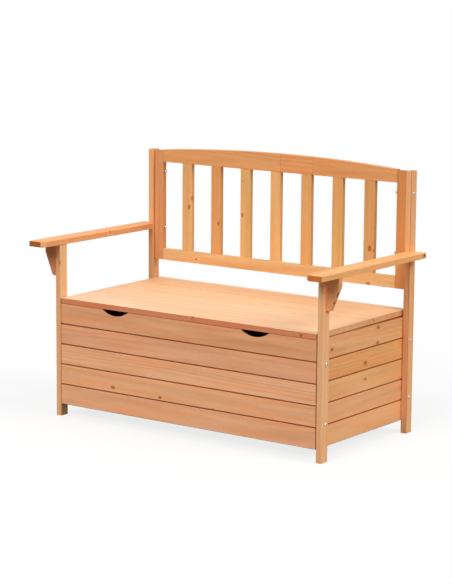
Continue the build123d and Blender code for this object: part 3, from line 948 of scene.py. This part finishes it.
@dataclass
class Metalwork:
    """Bolts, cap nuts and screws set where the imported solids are, and the plates of the hinges."""

    nodes: dict[str, bpy.types.Object]
    zinc: bpy.types.Material
    seed: int = 11

    def __post_init__(self) -> None:
        """Builds the tree that sets fasteners on points."""
        self.setting = self.tree()

    def tree(self) -> bpy.types.NodeTree:
        """Builds the tree: a fastener at each point, turned at random about its aim.

        Returns:
            The tree.
        """
        inputs = {"Fastener": "Object", "Seed": "Int", "Material": "Material"}
        tree, add, start = tree_with("set_fasteners", inputs)
        aim = add("GeometryNodeInputNamedAttribute", {"Name": "aim"}, "Attribute", data_type="FLOAT_VECTOR")
        aimed = add("FunctionNodeAlignRotationToVector", {"Vector": aim}, axis="Z")
        ends = {2: 0.0, 3: 2 * math.pi, "Seed": start["Seed"]}
        angle = add("FunctionNodeRandomValue", ends, 1, data_type="FLOAT")
        spin = add("FunctionNodeAxisAngleToRotation", {"Axis": (0, 0, 1), "Angle": angle})
        turned = add("FunctionNodeRotateRotation", {0: aimed, 1: spin}, rotation_space="LOCAL")
        source = {"Object": start["Fastener"]}
        sample = add("GeometryNodeObjectInfo", source, "Geometry", transform_space="ORIGINAL")
        spread = {"Points": start["Points"], "Instance": sample, "Rotation": turned}
        real = add("GeometryNodeRealizeInstances", {0: add("GeometryNodeInstanceOnPoints", spread)})
        look = {"Geometry": real, "Material": start["Material"]}
        add("NodeGroupOutput", {0: add("GeometryNodeSetMaterial", look)})
        return tree

    def boxes(self, node: str) -> list[tuple[Vector, Vector]]:
        """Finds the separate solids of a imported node.

        Args:
            node: Name of the node.

        Returns:
            The box of each solid.
        """
        work = merged(self.nodes[node])
        found = [box_of(group) for group in islands(work)]
        work.free()
        return found

    def set_on(self, name: str, node: str, body: str, kind: Fastener, aims: list[Vector]) -> None:
        """Sets fasteners where a node's solids are and dresses them.

        Args:
            name: Name of the finished piece.
            node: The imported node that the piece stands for.
            body: Body that it rides on.
            kind: The fastener.
            aims: Way that each face looks, along one axis, in the order of the solids.
        """
        places = []
        length = 0.0
        for (low, high), aim in zip(self.boxes(node), aims):
            axis = [abs(part) for part in aim].index(1.0)
            length = high[axis] - low[axis]
            place = (low + high) / 2
            place[axis] = high[axis] if aim[axis] > 0 else low[axis]
            places.append(place)
        sample = new_object("sample", kind.mesh(length))
        values = {"Fastener": sample, "Seed": self.seed, "Material": self.zinc}
        piece = new_object(name, run_tree(self.setting, places, {"aim": aims}, values))
        bpy.data.objects.remove(sample)
        settle(piece, body, Slot.ZINC, node)

    def outward(self, node: str) -> list[Vector]:
        """Gives the way from the middle of the bench to each solid of a node, along X."""
        return [Vector((math.copysign(1.0, (low + high).x), 0.0, 0.0)) for low, high in self.boxes(node)]

    def build(self) -> None:
        """Sets all fasteners and dresses the hinges."""
        for node in ("post_bolts", "arm_bolts"):
            self.set_on(f"socket_{node}", node, BENCH, BOLT_HEAD, self.outward(node))
        inward = [-aim for aim in self.outward("cap_nuts")]
        self.set_on("domed_cap_nuts", "cap_nuts", BENCH, CAP_NUT, inward)
        down = Vector((0.0, 0.0, -1.0))
        for name, node, body, kind, aim in (
            ("seat_screws", "lid_batten_screws", LID, WOOD_SCREW_HEAD, down),
            ("hinge_seat_screws", "hinge_lid_screws", LID, HINGE_SCREW_HEAD, down),
            ("hinge_rail_screws", "hinge_fixed_screws", BENCH, HINGE_SCREW_HEAD, -down),
        ):
            self.set_on(name, node, body, kind, [aim] * len(self.boxes(node)))
        for node in ("hinge_fixed_leaves", "hinge_lid_leaves", "hinge_pins", "bracket_screws"):
            self.dress(node)

    def dress(self, node: str) -> None:
        """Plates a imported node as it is.

        Args:
            node: Name of the node.
        """
        slots = self.nodes[node].data.materials
        slots.clear()
        slots.append(self.zinc)
        LOG.info("%s plated", node)


@dataclass
class BackSlats:
    """The seven upright slats of the back, made in one row."""

    shop: Woodshop
    names: tuple[str, ...] = tuple(f"back_slat_{n + 1}" for n in range(7))
    ease: float = 1.2
    ease_steps: int = 4
    tints: tuple[Rgb, ...] = (
        (0.89, 0.93, 0.83),
        (0.88, 0.78, 0.63),
        (0.9, 0.93, 0.74),
        (0.98, 1.0, 0.86),
        (0.87, 0.82, 0.65),
        (0.89, 0.88, 0.69),
        (0.84, 0.8, 0.64),
    )

    def tree(self) -> bpy.types.NodeTree:
        """Builds the tree: one eased slat at each point, with the grain of its own log.

        Returns:
            The tree.
        """
        inputs = {size: "Float" for size in ("Width", "Thickness", "Height", "Ease")}
        tree, add, start = tree_with("slat_row", {**inputs, "Material": "Material"})
        outline = add("GeometryNodeCurvePrimitiveQuadrilateral", {0: start["Width"], 1: start["Thickness"]})
        round_off = {"Curve": outline, "Radius": start["Ease"], "Count": self.ease_steps}
        eased = add("GeometryNodeFilletCurve", round_off, mode="POLY")
        ends = {}
        for end, share in (("Start", -0.5), ("End", 0.5)):
            rise = add("ShaderNodeMath", {0: start["Height"], 1: share}, operation="MULTIPLY")
            ends[end] = add("ShaderNodeCombineXYZ", {2: rise})
        line = add("GeometryNodeCurvePrimitiveLine", ends)
        slat = add("GeometryNodeCurveToMesh", {"Curve": line, "Profile Curve": eased, "Fill Caps": True})
        parts = add("ShaderNodeSeparateXYZ", {0: add("GeometryNodeInputPosition")}).node.outputs
        lie = add("ShaderNodeCombineXYZ", {0: parts[2], 1: parts[0], 2: parts[1]})
        kind = {"data_type": "FLOAT_VECTOR"}
        stored = {"Geometry": slat, "Name": "lie", "Value": lie}
        slat = add("GeometryNodeStoreNamedAttribute", stored, domain="POINT", **kind)
        row = add("GeometryNodeInstanceOnPoints", {"Points": start["Points"], "Instance": slat})
        real = add("GeometryNodeRealizeInstances", {0: row})
        terms = {}
        for number, name in enumerate(("lie", "log")):
            terms[number] = add("GeometryNodeInputNamedAttribute", {"Name": name}, "Attribute", **kind)
        grain = add("ShaderNodeVectorMath", terms, operation="ADD")
        stored = {"Geometry": real, "Name": "grain", "Value": grain}
        real = add("GeometryNodeStoreNamedAttribute", stored, domain="POINT", **kind)
        look = {"Geometry": real, "Material": start["Material"]}
        add("NodeGroupOutput", {0: add("GeometryNodeSetMaterial", look)})
        return tree

    def build(self) -> None:
        """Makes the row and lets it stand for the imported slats."""
        middles = [self.shop.middle(name) for name in self.names]
        logs = [self.shop.cuts[name].offset() for name in self.names]
        low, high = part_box(self.names[0])
        vectors = {"log": logs, "tint": [Vector(tint) for tint in self.tints]}
        values = {
            "Width": high.x - low.x,
            "Thickness": high.y - low.y,
            "Height": high.z - low.z,
            "Ease": self.ease * MM,
            "Material": self.shop.materials[Slot.FRAME],
        }
        piece = new_object("back_slats_fir", run_tree(self.tree(), middles, vectors, values))
        settle(piece, BENCH, Slot.FRAME, *self.names)


@dataclass
class BoxWalls:
    """The tongue-and-groove walls of the storage box, with painted shade in the joints, under the lid and at
    the ends beside the posts.
    """

    shop: Woodshop
    rows: int = 5
    front: tuple[Rgb, ...] = (
        (1.01, 0.94, 0.96),
        (1.03, 0.97, 0.95),
        (1.08, 1.04, 1.08),
        (0.97, 0.88, 0.93),
        (0.94, 0.85, 0.81),
    )
    side: tuple[Rgb, ...] = (
        (1.03, 0.98, 0.85),
        (1.05, 0.97, 0.86),
        (1.05, 1.01, 0.84),
        (1.03, 0.9, 0.64),
        (1.02, 0.96, 0.82),
    )
    # Painted shade in the joints: faces that look down are painted near black.
    below: tuple[FaceTint, ...] = (FaceTint(2, -1.1, -0.3, (0.26, 0.085, 0.03)),)
    # Painted shade in the joints: faces deep in a joint that look straight up are painted near black, and
    # the bevels that look up dark brown.
    above: tuple[FaceTint, ...] = (
        FaceTint(2, 0.9, 1.1, (0.26, 0.085, 0.03)),
        FaceTint(2, 0.3, 0.9, (0.58, 0.29, 0.14)),
    )
    # Painted shade under the lid, on the top of the highest boards.
    rim: tuple[FaceTint, ...] = (FaceTint(2, 0.3, 1.1, (0.68, 0.44, 0.3)),)
    # Painted shade along the ends of the front and back boards, beside the posts.
    corners: Seam = Seam(0, 2.2, 2.2)

    def build(self) -> None:
        """Makes the boards of all four walls."""
        for row in range(self.rows):
            joints = self.below + (self.above if row < self.rows - 1 else self.rim)
            for wall in ("front", "back"):
                node = f"{wall}_board_{row + 1}"
                self.shop.board(node, Slot.WALL, BENCH, self.front[row], joints, self.corners)
            for wall in ("left", "right"):
                self.shop.board(f"{wall}_board_{row + 1}", Slot.WALL, BENCH, self.side[row], joints)


@dataclass
class Inside:
    """Battens, ledgers, the hinge rail, the floor and the dowels, in bare sawn fir."""

    shop: Woodshop
    tints: dict[str, Rgb] = field(
        default_factory=lambda: {
            "corner_battens": (0.97, 0.96, 0.94),
            "wall_battens": (1.0, 0.98, 0.96),
            "hinge_rail": (0.98, 0.97, 0.95),
            "floor_ledgers": (0.96, 0.95, 0.93),
            "floor_boards": (1.0, 1.0, 1.0),
            "arm_dowels": (1.0, 1.0, 0.98),
        }
    )

    def build(self) -> None:
        """Makes the pieces inside the box and the arms."""
        for node, tint in self.tints.items():
            self.shop.board(node, Slot.INNER, BENCH, tint)


# Painted shade: faces that lean partly front or back, chiefly the walls of the screw holes, are painted near
# black.
SCREW_HOLE_SHADE = (FaceTint(1, -0.95, -0.05, (0.2, 0.12, 0.08)), FaceTint(1, 0.05, 0.95, (0.2, 0.12, 0.08)))


@dataclass
class Frame:
    """Posts, arms, arm brackets and the frame of the back."""

    shop: Woodshop
    tints: dict[str, Rgb] = field(
        default_factory=lambda: {
            "front_left_post": (1.0, 0.95, 1.02),
            "front_right_post": (1.02, 1.02, 1.1),
            "rear_left_post": (0.97, 0.96, 0.97),
            "rear_right_post": (1.04, 0.96, 0.92),
            "left_arm": (0.97, 0.81, 0.71),
            "right_arm": (1.04, 0.98, 0.84),
            "left_arm_bracket": (0.72, 0.48, 0.41),
            "right_arm_bracket": (0.98, 0.83, 0.74),
            "back_left_stile": (0.86, 0.75, 0.71),
            "back_right_stile": (0.77, 0.57, 0.38),
            "back_bottom_rail": (0.92, 0.97, 0.92),
            "back_top_rail": (0.92, 0.79, 0.67),
        }
    )
    face_tints: dict[str, tuple[FaceTint, ...]] = field(
        default_factory=lambda: {
            # Painted light: the faces of the front posts that look along +X are made lighter.
            "front_left_post": (FaceTint(0, 0.9, 1.1, (0.98, 1.13, 1.13)),),
            "front_right_post": (FaceTint(0, 0.9, 1.1, (1.1, 1.09, 1.06)),),
            # Painted light on the front face of the rear right post, and painted shade on its rounded front
            # edges.
            "rear_right_post": (
                FaceTint(1, -1.1, -0.96, (0.95, 0.98, 1.08)),
                FaceTint(1, -0.96, -0.1, (0.5, 0.32, 0.22)),
            ),
            # Left arm: darker end grain at the front, with the top painted lighter and the side that looks
            # along +X painted darker, as light and shade.
            "left_arm": (
                FaceTint(1, -1.1, -0.9, (0.47, 0.27, 0.12)),
                FaceTint(2, 0.9, 1.1, (1.1, 1.08, 1.03)),
                FaceTint(0, 0.9, 1.1, (0.9, 0.92, 0.95)),
            ),
            # Right arm: darker end grain at the front, with the top and the side that looks along +X tinted
            # as painted light.
            "right_arm": (
                FaceTint(1, -1.1, -0.9, (0.72, 0.39, 0.16)),
                FaceTint(2, 0.9, 1.1, (1.01, 1.04, 1.1)),
                FaceTint(0, 0.9, 1.1, (1.04, 1.0, 0.93)),
            ),
            # Painted shade in the brackets' screw holes.
            "left_arm_bracket": SCREW_HOLE_SHADE,
            "right_arm_bracket": SCREW_HOLE_SHADE,
        }
    )
    # Painted shade along the left stile's left edge, where it meets the post.
    seams: dict[str, Seam] = field(default_factory=lambda: {"back_left_stile": Seam(0, 3.0)})

    def build(self) -> None:
        """Makes the frame's pieces."""
        for node, tint in self.tints.items():
            face_tints = self.face_tints.get(node, ())
            self.shop.board(node, Slot.FRAME, BENCH, tint, face_tints, self.seams.get(node, Seam()))


@dataclass
class Seat:
    """The lid: four seat boards and the battens under them."""

    shop: Woodshop
    tints: tuple[Rgb, ...] = ((0.99, 0.9, 0.78), (1.0, 0.96, 0.9), (0.99, 1.01, 1.07), (1.0, 1.02, 1.08))
    face_tints: tuple[FaceTint, ...] = (
        FaceTint(1, -1.1, -0.8, (0.79, 0.42, 0.31)),
        FaceTint(0, 0.8, 1.1, (0.87, 0.745, 0.57)),
        FaceTint(0, -1.1, -0.8, (0.87, 0.745, 0.57)),
    )
    batten_tint: Rgb = (0.98, 0.97, 0.95)

    def build(self) -> None:
        """Makes the boards and the battens."""
        for number, tint in enumerate(self.tints):
            self.shop.board(f"lid_board_{number + 1}", Slot.SEAT, LID, tint, self.face_tints)
        self.shop.board("lid_battens", Slot.INNER, LID, self.batten_tint)


def board_plan() -> dict[str, tuple[Grain, Slot]]:
    """Lists the grain and the finish of every wooden node.

    Returns:
        Grain and slot by node name.
    """
    plan = {
        "lid_battens": (Grain.ARM, Slot.INNER),
        "corner_battens": (Grain.POST, Slot.INNER),
        "wall_battens": (Grain.SLAT, Slot.INNER),
        "hinge_rail": (Grain.RAIL, Slot.INNER),
        "floor_ledgers": (Grain.SEAT, Slot.INNER),
        "floor_boards": (Grain.ARM, Slot.INNER),
        "arm_dowels": (Grain.POST, Slot.INNER),
        "back_top_rail": (Grain.RAIL, Slot.FRAME),
        "back_bottom_rail": (Grain.RAIL, Slot.FRAME),
    }
    for name, count, grain, slot in (
        ("front_board", 5, Grain.RAIL, Slot.WALL),
        ("back_board", 5, Grain.RAIL, Slot.WALL),
        ("left_board", 5, Grain.SIDE, Slot.WALL),
        ("right_board", 5, Grain.SIDE, Slot.WALL),
        ("lid_board", 4, Grain.SEAT, Slot.SEAT),
        ("back_slat", 7, Grain.SLAT, Slot.FRAME),
    ):
        plan.update({f"{name}_{n + 1}": (grain, slot) for n in range(count)})
    for side in ("left", "right"):
        for name, grain in (
            (f"front_{side}_post", Grain.POST),
            (f"rear_{side}_post", Grain.POST),
            (f"{side}_arm", Grain.ARM),
            (f"{side}_arm_bracket", Grain.SLAT),
            (f"back_{side}_stile", Grain.SLAT),
        ):
            plan[name] = (grain, Slot.FRAME)
    return plan


@dataclass(frozen=True)
class Lamp:
    """A broad soft lamp: its strength, and its tilt from upright, turn about it and spread in degrees."""

    name: str
    strength: float
    tilt: float
    turn: float
    spread: float

    def build(self) -> None:
        """Hangs the lamp."""
        data = bpy.data.lights.new(self.name, "SUN")
        data.energy = self.strength * math.pi
        data.angle = math.radians(self.spread)
        holder = bpy.data.objects.new(self.name, data)
        holder.rotation_euler = Euler((math.radians(self.tilt), 0.0, math.radians(self.turn)))
        bpy.context.scene.collection.objects.link(holder)


@dataclass
class Studio:
    """A plain pale floor, a dome that is brighter overhead, two broad lamps and the camera."""

    camera_place: Point = (3.74933, -5.11844, 1.53010)
    camera_turn: Point = (80.142, -0.421, 36.275)
    lens_mm: float = 127.09
    sensor_mm: float = 36.0
    sight: float = 1000.0
    floor_half: float = 150.0
    floor_white: str = "#FFFFFF"
    floor_bounce: str = "#7A7A7A"
    floor_glow: float = 0.8
    dome_low: float = 0.14
    dome_high: float = 0.43
    lamps: tuple[Lamp, ...] = (
        Lamp("front_lamp", 0.57, 53.0, 2.0, 30.0),
        Lamp("right_lamp", 0.535, 52.0, 98.0, 34.0),
    )

    def build(self) -> None:
        """Sets up the floor, the light and the camera."""
        self.floor()
        self.dome()
        for lamp in self.lamps:
            lamp.build()
        self.camera()
        bpy.context.scene.view_settings.view_transform = "Standard"

    def floor(self) -> None:
        """Lays the floor, white to the eye apart from the shadow, and grey to the light it throws back."""
        half = self.floor_half
        corners = [(-half, -half, 0), (half, -half, 0), (half, half, 0), (-half, half, 0)]
        mesh = bpy.data.meshes.new("floor")
        mesh.from_pydata(corners, [], [(0, 1, 2, 3)])
        floor = new_object("floor", mesh)
        material = bpy.data.materials.new("matt_white_floor_paint")
        add = bare_nodes(material)
        seen = self.seen_ray(add)
        sides = {0: seen, 6: linear(self.floor_bounce), 7: linear(self.floor_white)}
        paint = add("ShaderNodeBsdfDiffuse", {"Color": add("ShaderNodeMix", sides, 2, data_type="RGBA")})
        glow = add("ShaderNodeEmission", {"Strength": 1.0})
        share = add("ShaderNodeMath", {0: seen, 1: self.floor_glow}, operation="MULTIPLY")
        shader = add("ShaderNodeMixShader", {0: share, 1: paint, 2: glow})
        add("ShaderNodeOutputMaterial", {"Surface": shader})
        mesh.materials.append(material)

    def seen_ray(self, add: AddNode) -> Socket:
        """Tells rays that are seen, straight, mirrored or through glass, from those that only light.

        Args:
            add: Adds a node to the shader tree of the floor or the world.

        Returns:
            A value that is 1 for rays that are seen.
        """
        path = add("ShaderNodeLightPath").node.outputs
        seen = path["Is Camera Ray"]
        for kind in ("Is Glossy Ray", "Is Transmission Ray"):
            seen = add("ShaderNodeMath", {0: seen, 1: path[kind]}, operation="MAXIMUM")
        return seen

    def dome(self) -> None:
        """Lights the bench from a white dome, dim at the horizon and bright overhead."""
        world = bpy.data.worlds.new("white_dome")
        bpy.context.scene.world = world
        add = bare_nodes(world)
        seen = self.seen_ray(add)
        way = add("ShaderNodeTexCoord", output="Generated")
        height = add("ShaderNodeSeparateXYZ", {0: way}, 2)
        light = add("ShaderNodeMapRange", {0: height, 3: self.dome_low, 4: self.dome_high})
        strength = add("ShaderNodeMapRange", {0: seen, 3: light, 4: 1.0})
        shader = add("ShaderNodeBackground", {"Color": (1.0, 1.0, 1.0, 1.0), "Strength": strength})
        add("ShaderNodeOutputWorld", {"Surface": shader})

    def camera(self) -> None:
        """Places the camera at the photograph's angle."""
        data = bpy.data.cameras.new("camera")
        data.lens = self.lens_mm
        data.sensor_width = self.sensor_mm
        data.clip_end = self.sight
        holder = bpy.data.objects.new("camera", data)
        holder.location = self.camera_place
        holder.rotation_euler = Euler([math.radians(turn) for turn in self.camera_turn])
        bpy.context.scene.collection.objects.link(holder)
        bpy.context.scene.camera = holder


def main() -> None:
    """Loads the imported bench, makes its pieces in order and sets up the studio."""
    logging.basicConfig(level=logging.INFO, format="%(name)s: %(message)s")
    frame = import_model()
    shop = Woodshop(frame["nodes"])
    shop.plan(board_plan())
    for assembly in (Frame(shop), BackSlats(shop), BoxWalls(shop), Inside(shop), Seat(shop)):
        assembly.build()
    Metalwork(frame["nodes"], ZincFinish().build()).build()
    Studio().build()


if __name__ == "__main__":
    main()
